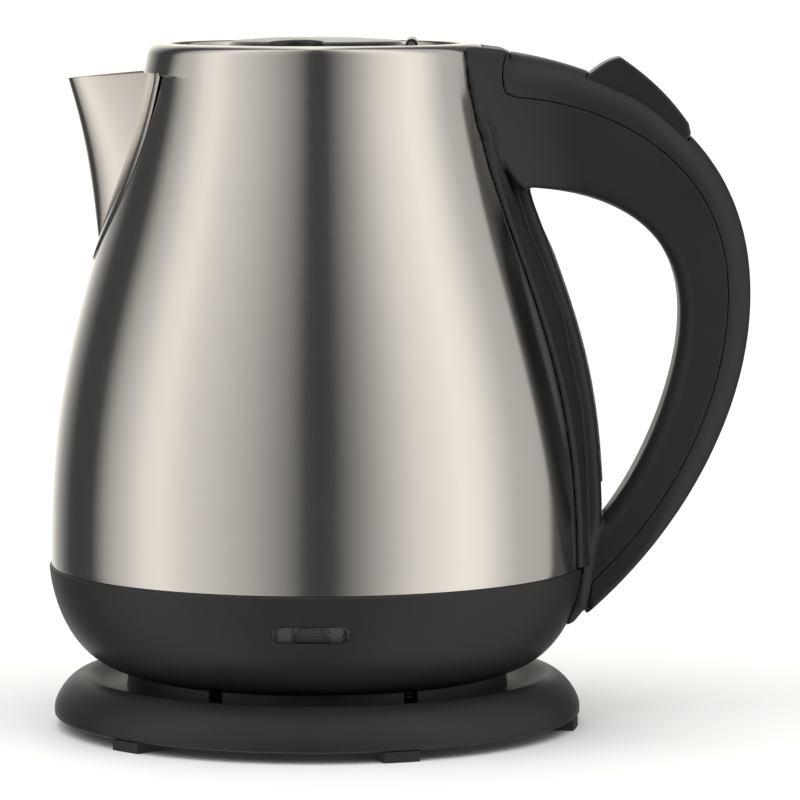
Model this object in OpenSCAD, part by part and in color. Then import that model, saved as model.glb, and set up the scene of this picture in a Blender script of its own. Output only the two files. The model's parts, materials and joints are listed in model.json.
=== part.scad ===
// Cordless electric kettle: a steel jug with a plastic bowl, a hollow handle and a hinged lid, on a round
// power base that it turns on and lifts off.
// Z is up. The origin is on the table, on the jug's upright axis. +X points to the handle, -X to the
// spout, and the lamp window faces -Y.

/* [Jug] */
// Radius of the steel jug at its foot
jug_r = 85.4; // [85:0.1:86]
// Height of the top of the rolled rim
rim_z = 219; // [218.5:0.1:219.5]
// Radius of the mouth inside the rolled rim
mouth_r = 46.5; // [46.3:0.1:46.8]
// Thickness of the steel
steel_t = 0.7; // [0.6:0.1:0.8]
// Height of the seam between the steel and the bowl
seam_z = 52.1; // [52:0.1:52.4]

/* [Spout] */
// Reach of the spout's tip from the jug's axis
spout_reach = 79.3; // [78:0.1:80]
// Half the width of the spout where it meets the jug
spout_w = 16.5; // [15:0.5:17]
// Half the width of the flange that is welded to the jug
flange_w = 25.5; // [24:0.5:26]

/* [Handle] */
// Half the width of the grip
grip_w = 13.5; // [13:0.5:14]
// Half the width of the head where it meets the jug
head_w = 24.5; // [23:0.5:25.5]
// Half the width of the spine that carries the water gauge
spine_w = 13; // [12.5:0.5:13]
// Thickness of the handle's plastic walls
handle_t = 2.4; // [2.2:0.1:2.6]

/* [Rocker] */
// Half the width of the on/off rocker
rocker_w = 9.5; // [9:0.1:9.8]
// Reach of the rocker's front edge from its pin
rocker_front_r = 20.4; // [20.2:0.1:20.6]
// Reach of the rocker's back edge from its pin
rocker_back_r = 17.4; // [17.2:0.1:17.6]

/* [Lid] */
// Radius of the lid's top disc
lid_r = 45.8; // [45.5:0.1:45.9]
// Height that the finger grip stands to
grip_z = 221; // [220.5:0.1:221.5]
// Radius of the hinge pins of the lid and the rocker
pin_r = 1.1; // [1:0.1:1.2]

/* [Base] */
// Largest radius of the power base
base_r = 84.9; // [84.5:0.1:85.5]
// Height of the crest of the power base
crest_z = 16.7; // [16:0.1:17]
// Height of each foot
foot_h = 3.4; // [3.2:0.1:3.4]
// Width of each foot
foot_w = 11.5; // [9:0.5:12]
// Radius of the hole for the mains cord
cord_r = 3.6; // [3.2:0.1:3.8]

/* [Hidden] */
$fn = 96;
gap = 0.2;          // clearance between pieces of one body
far = 300;          // longer than anything in the model
n_curve = 14;       // steps along an outline's curve

steel = "#b9b7b3";
black = "#303030";
dark = "#1d1d1f";
rubber = "#26262a";
brass = "#c9a24a";
white = "#e6e4de";
clear = "#cfd8dc";

// ---- curves -------------------------------------------------------------------------------------
// A curve is a cubic with four control points, and its side is the right hand of its direction.
function bez(p, t) = pow(1 - t, 3) * p[0] + 3 * t * pow(1 - t, 2) * p[1] + 3 * t * t * (1 - t) * p[2]
    + pow(t, 3) * p[3];
function bez_run(p, t) = pow(1 - t, 2) * (p[1] - p[0]) + 2 * t * (1 - t) * (p[2] - p[1])
    + t * t * (p[3] - p[2]);
function unit(v) = v / norm(v);
function side(v) = [v.y, -v.x];
function beside(p, t, d) = bez(p, t) + d * side(unit(bez_run(p, t)));
function curve(p, d = 0, a = 0, b = 1, n = n_curve) = [for (i = [0:n]) beside(p, a + (b - a) * i / n, d)];
function reversed(list) = [for (i = [len(list) - 1:-1:0]) list[i]];
function direction(a) = [cos(a), sin(a)];
function arc(c, r, a, b, n = 6) = [for (i = [0:n]) c + r * direction(a + (b - a) * i / n)];
function smooth(t) = let (u = min(max(t, 0), 1)) u * u * (3 - 2 * u);

// ---- outlines -----------------------------------------------------------------------------------
// Jug: half its section as [radius, height], from the neck down to the seam.
neck = [54.3, 210];
JUG_NECK = [neck, [55.5, 200], [63.9, 173], [69.2, 156]];
JUG_BELLY = [[69.2, 156], [81.4, 117], [jug_r, 91.8], [jug_r, seam_z]];
skirt_r = 82.8;
rim_curl = 3.2;
rim_c = [mouth_r + 3.8, rim_z - rim_curl];
function jug_side(d) = concat(curve(JUG_NECK, -d), curve(JUG_BELLY, -d));
function jug_r_at(z) = z > 156 ? on_curve(JUG_NECK, z, 0, 1, 20) : on_curve(JUG_BELLY, z, 0, 1, 20);
function on_curve(p, z, a, b, steps) = let (m = (a + b) / 2, q = bez(p, m))
    steps == 0 ? q.x : q.y > z ? on_curve(p, z, m, b, steps - 1) : on_curve(p, z, a, m, steps - 1);

// Bowl: half its section, from the seam down to its foot.
bowl_t = 2.2;
bowl_foot = [61.5, 18.4];
BOWL = [[86.1, seam_z], [86, 47.3], [82.3, 21.9], bowl_foot];
ledge_z = 46.6;
ledge_in = 77.5;    // inner radius of the ledge that the jug's skirt stands on
skirt_foot = ledge_z + 0.1;

// Handle, seen from -Y as [x, z]: the outer edge, the edge along the finger gap, and the seam between
// the frame and the outer cover. Each is an upper and a lower curve.
OUT_TOP = [[58.2, 216.8], [83.5, 213.8], [138.9, 199], [138.9, 138.5]];
OUT_LOW = [[138.9, 138.5], [138.9, 100.9], [117.3, 62.6], [86.7, 36]];
IN_TOP = [[72.4, 173.2], [87.3, 171.1], [116, 165.3], [116, 133]];
IN_LOW = [[116, 133], [116, 111.5], [104.2, 83], [91.5, 67.5]];
SEAM_TOP = [[63.4, 202.2], [91.2, 200.2], [131.2, 184.2], [131.2, 139]];
SEAM_LOW = [[131.2, 139], [131.2, 110], [117, 74], [88.3, 47]];
SPINE = [[71.7, 162.1], [84.7, 127.8], [90.2, 110.5], [91.4, 71.7]];
seam_gap = 0.1;     // half the gap along the seam
// The seam runs down the front of the head before it follows the handle.
seam_start = 0.037;  // where the seam leaves the handle's upper outer curve
function seam_front(d) = [[60.5 + d, 216.6], [58.8 + d, 212], [58.8 + d, 206.6 - d], [60.2 + d, 203.6 - d]];

steam_z = 198;      // height of the hole that lets steam into the head
steam_r = 3;

// Rocker
rocker_pivot = [103.4, 197.4];
rocker_a = 0.24;    // the stretch of the handle's upper outer curve that the rocker lies in
rocker_b = 0.66;
rocker_skirt = 3;   // depth of the rocker below the handle's surface
hub_r = 2.9;        // radius of the rocker's hub round its pin
well_depth = 5.4;   // depth of the hollow that the rocker swings in

// Lid and its hinge
lid_under = rim_z - 4;
lid_top = rim_z - 1.4;
hinge = [30.5, rim_z - 0.3];
barrel_r = 1.9;
knuckle_y = 12;     // half the length of the lid's knuckle, between the two lugs of the seat ring
lug_y = 16.4;
swing = 0.3;        // clearance of what swings
lid_edge = hinge.x - 0.2;
bridge_x = hinge.x + 0.4;
ring_r = 38.5;
ring_top = lid_under - 0.8;
skirt_out = ring_r - 2;
skirt_z = 207.6;

// Floor and heater
floor_z = 47.6;
floor_t = 0.8;
floor_r = 80.6;
seal_t = 0.9;       // thickness of the seal above and below the floor plate
spreader_t = 3;
spreader_r = 62;
element_r = 40;
tube_r = 3.6;

// Connector, from the base's tower up into the jug
tower_r = 11;
tower_z = 29;
plateau_z = 15;
ring_z = bowl_foot.y - 0.3;
earth_r = 3;
running = 0.05;     // radial clearance of a running fit
slot_in = 5.8;
slot_out = 8.2;
slot_mid = (slot_in + slot_out) / 2;
slot_z = 17;        // floor of the slot that holds the two contact rings
contact_t = 0.5;

// ---- helpers ------------------------------------------------------------------------------------
module across(w) rotate([90, 0, 0]) linear_extrude(2 * w, center = true) children();
module ring(r_out, r_in, z0, z1) translate([0, 0, z0]) difference() {
    cylinder(r = r_out, h = z1 - z0);
    translate([0, 0, -1]) cylinder(r = r_in, h = z1 - z0 + 2);
}
module screw(head_r, head_h, shank_r, length) {
    cylinder(r = head_r, h = head_h);
    cylinder(r = shank_r, h = length);
}
// Everything inside the jug's outer surface, moved outwards by d.
module jug_space(d) rotate_extrude()
    polygon(concat([[0, seam_z - 3]], [[0, rim_z]], [[rim_c.x + rim_curl + d, rim_z]], jug_side(d),
                   [[jug_r + d, seam_z - 3]]));
// Everything inside the bowl's outer surface, moved outwards by d.
module bowl_space(d) rotate_extrude()
    polygon(concat([[0, bowl_foot.y - 1]], [[0, seam_z + d]], curve(BOWL, -d),
                   [[bowl_foot.x, bowl_foot.y - 1]]));
module lathe_ring(points) rotate_extrude() polygon(points);

// ---- power base ---------------------------------------------------------------------------------
dome_z = 3.6;
DOME = [[base_r, 5.8], [base_r, 9.7], [79.3, crest_z], [75, crest_z]];
DISH = [[75, crest_z], [71.5, crest_z], [68.5, 12.7], [62.3, 12.7]];
dome_t = 2.2;
cord_z = 7;         // height of the cord's hole
inlet_r = 5.7;      // outer radius of the bush that the cord goes through
base_boss_r = 48;   // distance of the screw bosses from the axis
boss_at = [for (a = [30:120:270]) base_boss_r * direction(a)];
module base_cover() color(black) difference() {
    union() {
        lathe_ring(concat([[base_r - 0.9, dome_z]], curve(DOME), curve(DISH),
                          [[61, 13], [60.8, ring_z - 0.5], [60.3, ring_z], [57.2, ring_z],
                           [56.8, plateau_z], [tower_r + gap, plateau_z],
                           [tower_r + gap, plateau_z - dome_t], [55, plateau_z - dome_t], [58, 10.4]],
                          reversed(curve(DISH, -dome_t)), reversed(curve(DOME, -dome_t)),
                          [[base_r - 2.6, dome_z]]));
        for (p = boss_at) translate([p.x, p.y, 5.6]) cylinder(r = 3.6, h = plateau_z - dome_t - 5.5);
    }
    // six notches in the ring that the jug stands on
    for (a = [0:60:300]) rotate(a) translate([59, 0, ring_z]) cube([8, 5, 8], center = true);
    for (p = boss_at) translate([p.x, p.y, 0]) cylinder(r = 1.55, h = 12.6);
    // mouth for the cord inlet
    translate([0, base_r - 9, cord_z]) rotate([-90, 0, 0]) cylinder(r = inlet_r + gap, h = 20);
}
plate_r = 80.8;
foot_at = [for (a = [-134, -70.5, -9]) each [a, a + 180]];
module base_plate() color(dark) difference() {
    translate([0, 0, foot_h]) cylinder(r = plate_r, h = 2);
    for (p = boss_at) translate([p.x, p.y, 0]) {
        cylinder(r = 1.7, h = 10);
        cylinder(r = 3.2, h = foot_h + 1.2);
    }
    for (a = foot_at) rotate(a) translate([plate_r - 5, 0, 0]) cylinder(r = 2.5, h = 10);
    translate([0, base_r - 9, cord_z]) rotate([-90, 0, 0]) cylinder(r = inlet_r + gap, h = 20);
}
module rubber_feet() color(rubber) for (a = foot_at) rotate(a) {
    intersection() {
        cylinder(r = base_r - 0.6, h = foot_h);
        translate([plate_r - 9, -foot_w / 2, 0]) cube([20, foot_w, foot_h]);
    }
    translate([plate_r - 5, 0, foot_h - 0.1]) cylinder(r = 2.4, h = 2.1);
}
module base_screws() color(steel) for (p = boss_at) translate([p.x, p.y, foot_h + 0.1])
    screw(2.9, 1.0, 1.5, 8);
module base_connector() color(black) difference() {
    union() {
        ring(tower_r, earth_r + running, 10, tower_z);
        ring(15.5, earth_r + running, 10, plateau_z - dome_t - gap);
    }
    ring(slot_out, slot_in, slot_z, tower_z + 1);
    translate([0, 0, 9]) cylinder(r = 5, h = 2.2);
}
module base_contacts() color(brass) {
    ring(slot_out - 0.05, slot_out - 0.05 - contact_t, slot_z, tower_z - 2.5);
    ring(slot_in + 0.05 + contact_t, slot_in + 0.05, slot_z, tower_z - 4);
}
module cord_inlet() color(rubber) translate([0, 0, cord_z]) rotate([-90, 0, 0]) difference() {
    union() {
        translate([0, 0, base_r - 5.6]) cylinder(r = inlet_r, h = 6.4);
        translate([0, 0, base_r - 7.2]) cylinder(r = inlet_r - 0.5, h = 2);
    }
    cylinder(r = cord_r, h = far);
}
module centre_pin() color(brass) {
    translate([0, 0, 9.4]) cylinder(r = 4.6, h = 1.6);
    translate([0, 0, 10]) cylinder(r = earth_r, h = 23);
    translate([0, 0, 33]) intersection() {
        sphere(r = earth_r);
        cylinder(r = earth_r, h = earth_r);
    }
}

// ---- jug ----------------------------------------------------------------------------------------
// Half-widths of the spout's opening and of its flange at a height, both drawn out to a point below.
spout_foot = 155.9;
flange_foot = 149;
spout_top = 210;
function swell(z, z0, power) = 1 - pow(1 - min(max((z - z0) / (spout_top - z0), 0), 1), power);
function spout_half(z) = spout_w * swell(z, spout_foot, 3);
function flange_half(z) = flange_w * swell(z, flange_foot, 4.5);
module jug_shell() color(steel) difference() {
    lathe_ring(concat([[skirt_r, skirt_foot], [skirt_r, seam_z + 0.1], [jug_r - 0.2, seam_z + 0.1]],
                      reversed(curve(JUG_BELLY, a = 0, b = 0.99)), reversed(curve(JUG_NECK, b = 0.99)),
                      arc(rim_c, rim_curl, 0, 90),
                      arc([mouth_r + 0.9, rim_z - 0.9], 0.9, 90, 180, 3),
                      [[mouth_r, rim_z - 3], [mouth_r + steel_t, rim_z - 3],
                       [mouth_r + steel_t, rim_z - steel_t - 0.3],
                       [mouth_r + steel_t + 0.3, rim_z - steel_t]],
                      reversed(arc(rim_c, rim_curl - steel_t, 0, 90)),
                      curve(JUG_NECK, steel_t, b = 0.99), curve(JUG_BELLY, steel_t, b = 0.97),
                      [[skirt_r - steel_t, seam_z - 1], [skirt_r - steel_t, skirt_foot]]));
    // opening behind the spout
    translate([-far / 2, 0, 0]) rotate([90, 0, 90]) linear_extrude(far / 2)
        polygon(concat([for (z = [172:6:208]) [spout_half(z) - 2.6, z]],
                       [for (z = [208:-6:172]) [2.6 - spout_half(z), z]]));
    // steam hole into the head of the handle, and the two ports of the water gauge
    translate([0, 0, steam_z]) rotate([0, 90, 0]) cylinder(r = steam_r, h = far);
    for (z = gauge_ports) translate([0, 0, z]) rotate([0, 90, 0]) cylinder(r = port_r, h = far);
}

// Spout: one sheet, pressed to a rounded V, with a flange that lies on the jug. s runs across it from
// -2 to 2: the V is between -1 and 1, and the flange is outside.
SPOUT_FRONT = [[-spout_reach, 207.5], [-73.4, 188.1], [-72.1, 176.6], [-69.8, spout_foot]];
function front_x(z) = on_curve(SPOUT_FRONT, z, 0, 1, 16);
function around(y, r) = -sqrt(r * r - y * y);
function spout_point(s, z, inside) = let (
        r = jug_r_at(z) + 0.3,
        w = max(spout_half(z), 0.4),
        out = inside ? 0 : 0.6,
        y = abs(s) <= 1 ? s * w : sign(s) * (w + (abs(s) - 1) * max(flange_half(z) - w, 0.4)),
        foot_x = around(w, r + out),
        nose_x = min(front_x(max(z, spout_foot)) + (inside ? 0.8 : 0), foot_x),
        top = z + (abs(s) <= 1 ? 2.2 * s * s : 2.2) * smooth((z - 190) / 18))
    abs(s) <= 1 ? [foot_x + (nose_x - foot_x) * (1 - s * s), (inside ? y * (1 - 0.7 / max(w, 2)) : y), top]
                : [around(y, r + out), y, top];
spout_s = [-2, -1.66, -1.33, for (i = [-6:6]) i / 6, 1.33, 1.66, 2];
spout_z = [150, 153, for (i = [0:12]) 156.5 + (spout_top - 2.2 - 156.5) * i / 12];
module spout() color(steel) {
    n = len(spout_s);
    m = len(spout_z);
    outer = [for (z = spout_z) for (s = spout_s) spout_point(s, z, false)];
    inner = [for (z = spout_z) for (s = spout_s) spout_point(s, z, true)];
    k = n * m;
    polyhedron(
        points = concat(outer, inner),
        faces = concat(
            [for (j = [0:m - 2]) for (i = [0:n - 2]) each let (a = j * n + i)
                [[a, a + n, a + 1], [a + 1, a + n, a + n + 1]]],
            [for (j = [0:m - 2]) for (i = [0:n - 2]) each let (a = k + j * n + i)
                [[a, a + 1, a + n], [a + 1, a + n + 1, a + n]]],
            [for (i = [0:n - 2]) each let (a = i) [[a, a + 1, k + a + 1], [a, k + a + 1, k + a]]],
            [for (i = [0:n - 2]) each let (a = (m - 1) * n + i)
                [[a, k + a + 1, a + 1], [a, k + a, k + a + 1]]],
            [for (j = [0:m - 2]) each let (a = j * n) [[a, k + a + n, a + n], [a, k + a, k + a + n]]],
            [for (j = [0:m - 2]) each let (a = j * n + n - 1)
                [[a, a + n, k + a + n], [a, k + a + n, k + a]]]));
}
// Limescale filter: a barred plate that follows the inside of the jug behind the spout.
filter_w = 17;
filter_low = 163;
filter_slot = 2.4;
filter_pitch = 4;
module spout_filter() color(dark) difference() {
    intersection() {
        lathe_ring(concat(curve(JUG_NECK, steel_t + gap, b = 0.92),
                          reversed(curve(JUG_NECK, steel_t + 2, b = 0.92))));
        translate([-far / 2, -filter_w, filter_low]) cube([far / 2, 2 * filter_w, 42.5]);
    }
    for (y = [-12:filter_pitch:12]) translate([-far / 2, y - filter_slot / 2, filter_low + 5])
        cube([far / 2, filter_slot, 33]);
}

// ---- lid seat in the neck -----------------------------------------------------------------------
module hinge_rod(r, y0, y1) translate([hinge.x, y1, hinge.y]) rotate([90, 0, 0])
    cylinder(r = r, h = y1 - y0);
module beyond(x) translate([x, -far / 2, 0]) cube([far, far, far]);
// The seat ring, with the bridge that closes the mouth behind the lid and carries the hinge.
module lid_ring() color(dark) difference() {
    union() {
        ring(52.2, ring_r, 206, ring_top);
        ring(rim_c.x - 0.8, 47.6, ring_top - 1, rim_z - steel_t);
        intersection() {
            translate([0, 0, ring_top - 1.2]) cylinder(r = lid_r, h = lid_top - ring_top + 1.2);
            beyond(bridge_x);
        }
        for (side = [-1, 1]) translate([0, side * (knuckle_y + 0.4 + lug_y) / 2, 0])
            hinge_rod(barrel_r, (knuckle_y + 0.4 - lug_y) / 2, (lug_y - knuckle_y - 0.4) / 2);
    }
    hinge_rod(barrel_r + swing, -knuckle_y - 0.4, knuckle_y + 0.4);
    hinge_rod(pin_r + running, -far / 2, far / 2);
}
module lid_pin() color(steel) hinge_rod(pin_r, -lug_y, lug_y);

// ---- lid ----------------------------------------------------------------------------------------
pocket_at = [-6, 27];
lid_screw_r = 28;
lid_screw_at = [for (a = [60:120:300]) lid_screw_r * direction(a)];
module lid_cover() color(dark) difference() {
    union() {
        difference() {
            lathe_ring([[0, lid_under], [lid_r, lid_under], [lid_r, lid_top - 0.8], [lid_r - 0.8, lid_top],
                        [28, lid_top + 0.4], [27.2, grip_z - 1.2], [20, grip_z - 0.3], [8, grip_z],
                        [0, grip_z]]);
            beyond(lid_edge);
            hinge_rod(barrel_r + swing, -lug_y - 0.4, lug_y + 0.4);
        }
        difference() {
            ring(skirt_out, skirt_out - 2.1, skirt_z, lid_under + 0.1);
            beyond(hinge.x - 3);
        }
        hinge_rod(barrel_r, -knuckle_y, knuckle_y);
        translate([hinge.x - 3, -knuckle_y, lid_under]) cube([2.8, 2 * knuckle_y, hinge.y - lid_under]);
        for (p = lid_screw_at) translate([p.x, p.y, skirt_z]) cylinder(r = 3.2, h = 8);
    }
    hinge_rod(pin_r + running, -far / 2, far / 2);
    // finger pockets on both sides of the grip
    for (s = [-1, 1]) translate([pocket_at.x, s * pocket_at.y, lid_top - 0.6]) cylinder(r = 9, h = 10);
    for (p = lid_screw_at) translate([p.x, p.y, skirt_z - 1]) cylinder(r = 1.25, h = 7);
}
module lid_plate() color(steel) difference() {
    translate([0, 0, skirt_z - 0.8]) cylinder(r = skirt_out, h = 0.8);
    for (p = lid_screw_at) translate([p.x, p.y, skirt_z - 2]) cylinder(r = 1.45, h = 4);
    beyond(hinge.x - 3);
}
module lid_seal() color(rubber) difference() {
    ring(ring_r + 4, ring_r + 1, ring_top + 0.05, lid_under);
    beyond(hinge.x - 3);
}
module lid_screws() color(steel) for (p = lid_screw_at) translate([p.x, p.y, skirt_z - 1.7])
    screw(2.4, 0.9, 1.2, 7);

// ---- floor, heater and control ------------------------------------------------------------------
module floor_plate() color(steel) translate([0, 0, floor_z]) cylinder(r = floor_r, h = floor_t);
module floor_seal() color(rubber) difference() {
    ring(skirt_r - steel_t - 0.1, floor_r - 1.8, floor_z - seal_t, floor_z + floor_t + seal_t);
    translate([0, 0, floor_z - 0.05]) cylinder(r = floor_r + 0.05, h = floor_t + 0.1);
}
spreader_z = floor_z - spreader_t;
module heat_spreader() color("#a9abad") translate([0, 0, spreader_z])
    cylinder(r = spreader_r, h = spreader_t);
element_z = spreader_z - tube_r - 0.05;
module heating_element() color("#8f8b86") {
    rotate(25) rotate_extrude(angle = 310) translate([element_r, element_z]) circle(tube_r);
    for (a = [25, 335]) rotate(a) translate([element_r, 0, element_z]) {
        sphere(r = tube_r);
        translate([0, 0, -11]) cylinder(r = 1.6, h = 11);
    }
}
control_z = 32;     // where the control stands on the connector
control_r = 26;
control_h = 8;
post_z = control_z + control_h - 1;
module control_unit() color(white) difference() {
    union() {
        translate([0, 0, control_z]) cylinder(r = control_r, h = control_h);
        for (a = [90:120:330]) rotate(a) translate([20, 0, post_z])
            cylinder(r = 3, h = spreader_z - post_z);
        translate([20, -9, control_z]) cube([13, 18, 5]);
    }
    translate([0, 0, control_z - 1]) cylinder(r = earth_r + 0.5, h = 6);
}
module bimetal_disc() color("#b8b2a4") ring(12, 2, control_z + control_h + 0.4, control_z + control_h + 1);
socket_z = 19;      // mouth of the socket that goes over the base's tower
module jug_connector() color(dark) difference() {
    translate([0, 0, socket_z]) cylinder(r = 15, h = control_z - socket_z);
    translate([0, 0, socket_z - 1]) cylinder(r = tower_r + 0.6, h = tower_z + 1.8 - socket_z);
    translate([0, 0, socket_z - 1]) cylinder(r = earth_r + 0.5, h = 20);
}
module jug_contact() color(brass) ring(slot_mid + 0.3, slot_mid - 0.3, socket_z + 1, tower_z + 0.8);

// ---- bowl ---------------------------------------------------------------------------------------
bowl_boss_r = 53;
bowl_boss_at = [for (a = [0:120:240]) bowl_boss_r * direction(a)];
lip_z = 20.4;
lamp_z = 40;
lamp_w = 24.3;
lamp_h = 5.1;
module lamp_window(grow) translate([0, 0, lamp_z]) rotate([90, 0, 0]) linear_extrude(far / 2) {
    square([lamp_w - lamp_h, lamp_h + 2 * grow], center = true);
    for (s = [-1, 1]) translate([s * (lamp_w - lamp_h) / 2, 0]) circle(lamp_h / 2 + grow);
}
module bowl() color(black) difference() {
    union() {
        lathe_ring(concat(curve(BOWL), [[57.3, bowl_foot.y], [57.3, lip_z], [49.5, lip_z],
                                        [49.5, lip_z + bowl_t], [60.5, lip_z + bowl_t]],
                          reversed(curve(BOWL, bowl_t, b = 0.9)), [[83.3, seam_z]]));
        ring(84, ledge_in, ledge_z - 1.8, ledge_z);
        for (p = bowl_boss_at) translate([p.x, p.y, lip_z + 2]) cylinder(r = 3.4, h = 9);
    }
    lamp_window(0.1);
    for (p = bowl_boss_at) translate([p.x, p.y, lip_z - 1]) cylinder(r = 1.55, h = 10);
}
module bowl_plate() color(dark) difference() {
    ring(57.1, 15.3, bowl_foot.y + 0.1, lip_z);
    for (p = bowl_boss_at) translate([p.x, p.y, 0]) {
        cylinder(r = 1.7, h = far);
        cylinder(r = 3.1, h = bowl_foot.y + 1.2);
    }
}
module bowl_screws() color(steel) for (p = bowl_boss_at) translate([p.x, p.y, bowl_foot.y + 0.2])
    screw(2.8, 0.9, 1.5, 10);
module lamp_lens() color(clear, 0.6) intersection() {
    lamp_window(0);
    lathe_ring(concat(curve(BOWL, 0, b = 0.7), reversed(curve(BOWL, 1.8, b = 0.7))));
}
bulb_l = 10;
module lamp_bulb() color("#f0c9b0") translate([-bulb_l / 2, -76.5, lamp_z]) rotate([0, 90, 0])
    cylinder(r = 2, h = bulb_l);
module lamp_holder() color(white) difference() {
    translate([-10, -79, lamp_z - 4]) cube([20, 7, 8]);
    translate([-6, -80, lamp_z - 2.6]) cube([12, 6.2, 5.2]);
}

// ---- handle -------------------------------------------------------------------------------------
// Half-width of the handle at a distance from the jug's axis, less d.
function handle_half(x, d) = grip_w - d + (head_w - grip_w) * pow(1 - min(max((x - 48) / 38, 0), 1), 2);
module handle_plan(d) linear_extrude(far) polygon(concat(
    [for (x = [38:4:86]) [x, handle_half(x, d)]], [[150, grip_w - d]],
    [[150, d - grip_w]], [for (x = [86:-4:38]) [x, -handle_half(x, d)]]));
module inner_band() polygon(concat(
    [[44, 218.6], [51, 218.2], [58.8, 217.3]], seam_front(-seam_gap),
    curve(SEAM_TOP, seam_gap), curve(SEAM_LOW, seam_gap),
    [[84, 42], [80, 60], [88, 70]], reversed(curve(IN_LOW)), reversed(curve(IN_TOP)),
    [[69.2, 172.3], [66, 168], [44, 168]]));
module spine_core() polygon(concat(
    [[50, 176], [68.2, 172.6], [69.4, 168.3]], curve(SPINE),
    [[91.2, 66], [89.2, 58], [88, 51], [86.8, 38.6], [85.3, 37.4], [82.2, 33.5], [78.6, 32.6], [70, 32.6],
     [70, 60]]));
// Outline of the flange, seen from +X: half-width against height.
function flange_y(z) = 19.2 + 9 * smooth((z - 52) / 115) - 3.4 * smooth((z - 178) / 28);
module flange_plan() rotate([90, 0, 90]) linear_extrude(far) polygon(concat(
    [for (z = [53:11:207]) [flange_y(z), z]], [[24, 216.8], [-24, 216.8]],
    [for (z = [207:-11:53]) [-flange_y(z), z]]));
gauge_ports = [86, 150];
port_r = 2;
gauge_a = 0.0;
gauge_b = 0.94;
gauge_w = 8;
module gauge_slab(out, in, w, a = gauge_a, b = gauge_b) across(w)
    polygon(concat(curve(SPINE, -out, a, b), reversed(curve(SPINE, in, a, b))));
// Handle screws: where each goes in on the finger side, its direction, how deep its head is sunk, and its
// length.
handle_screw_at = [[84, 170.6, 0, 17, 16], [102.9, 79.4, 128, 3, 12.5]];
module at_screw(s) translate([s.x, 0, s.y]) rotate([0, s[2], 0]) children();
module handle_frame() color(black) difference() {
    union() {
        intersection() {
            across(far / 2) inner_band();
            handle_plan(0);
        }
        across(spine_w) spine_core();
        intersection() {
            jug_space(2.2);
            flange_plan();
        }
    }
    jug_space(gap);
    bowl_space(gap);
    // hollow under the outer cover, round the screw bosses
    difference() {
        intersection() {
            across(far / 2) polygon(concat(
                [[64, 201]], curve(SEAM_TOP, -1, 0.05), curve(SEAM_LOW, -1, 0, 0.86), [[97, 58], [98, 68]],
                reversed(curve(IN_LOW, -handle_t, 0, 0.84)), reversed(curve(IN_TOP, -handle_t)),
                [[68, 180], [64, 190]]));
            handle_plan(handle_t);
        }
        for (s = handle_screw_at) at_screw(s) cylinder(r = 4.6, h = far);
    }
    translate([50, 0, steam_z]) rotate([0, 90, 0]) cylinder(r = steam_r, h = 18);
    gauge_slab(1, 3.2, gauge_w + 0.1);
    for (z = gauge_ports) translate([0, 0, z]) rotate([0, 90, 0]) cylinder(r = port_r, h = far / 2 - 60);
    for (s = handle_screw_at) at_screw(s) {
        translate([0, 0, -2]) cylinder(r = 3.1, h = s[3] + 3.2);
        cylinder(r = 1.7, h = s[3] + s[4]);
    }
}
// Room for the rocker in the outer cover, grown by d.
module rocker_well(d, w) across(w) intersection() {
    polygon(concat(curve(OUT_TOP, -12, rocker_a, rocker_b),
                   reversed(curve(OUT_TOP, well_depth + d, rocker_a, rocker_b))));
    rocker_swing(d);
}
// What the rocker sweeps when it turns on its pin, grown by d.
module rocker_swing(d) translate(rocker_pivot) {
    intersection() {
        circle(rocker_front_r + d);
        translate([-far, -far / 2]) square(far);
    }
    intersection() {
        circle(rocker_back_r + d);
        translate([-1, -far / 2]) square(far);
    }
}
module handle_cover() color(black) difference() {
    intersection() {
        across(far / 2) polygon(concat(
            seam_front(seam_gap), curve(SEAM_TOP, -seam_gap), curve(SEAM_LOW, -seam_gap, 0, 0.985),
            reversed(curve(OUT_LOW, 0, 0, 0.985)), reversed(curve(OUT_TOP, 0, seam_start))));
        handle_plan(0);
    }
    // hollow that leaves the walls round the rocker and the screw bosses
    difference() {
        intersection() {
            across(far / 2) polygon(concat(
                [[63, 203]], curve(SEAM_TOP, 0.6, 0.04), curve(SEAM_LOW, 0.6, 0, 0.9),
                reversed(curve(OUT_LOW, handle_t, 0, 0.9)), reversed(curve(OUT_TOP, handle_t, 0.06)),
                [[63, 211]]));
            handle_plan(handle_t);
        }
        rocker_well(2, far / 2);
        for (s = handle_screw_at) at_screw(s) cylinder(r = 3.8, h = far);
    }
    rocker_well(0.4, rocker_w + 0.5);
    rocker_rod(hub_r + 0.5, rocker_w + 0.5);
    rocker_rod(pin_r + running, rocker_w + 2);
    for (s = handle_screw_at) at_screw(s) cylinder(r = 1.45, h = s[3] + s[4] + 0.5);
}
module rocker_rod(r, w) translate([rocker_pivot.x, w, rocker_pivot.y]) rotate([90, 0, 0])
    cylinder(r = r, h = 2 * w);
ROCKER_FRONT = [[87.2, 209.6], [90.1, 211.7], [93, 214.3], [97, 214.6]];
ROCKER_TOP = [[97, 214.6], [110.9, 205.3], [116.1, 197], [118.6, 193.7]];
module rocker() color(dark) difference() {
    union() {
        across(rocker_w) intersection() {
            polygon(concat(curve(ROCKER_FRONT), curve(ROCKER_TOP), [[119.3, 190.5]],
                           reversed(curve(OUT_TOP, rocker_skirt, rocker_a, rocker_b))));
            rocker_swing(0);
        }
        rocker_rod(hub_r, rocker_w);
    }
    rocker_rod(pin_r + running, far / 2);
}
module rocker_pin() color(steel) rocker_rod(pin_r, rocker_w + 1.8);
module gauge_window() color(clear, 0.5) difference() {
    gauge_slab(0.5, 2.2, gauge_w, gauge_a + 0.004, gauge_b - 0.004);
    gauge_slab(-1, 3, 3.5, 0.08, gauge_b - 0.06);
}
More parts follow.
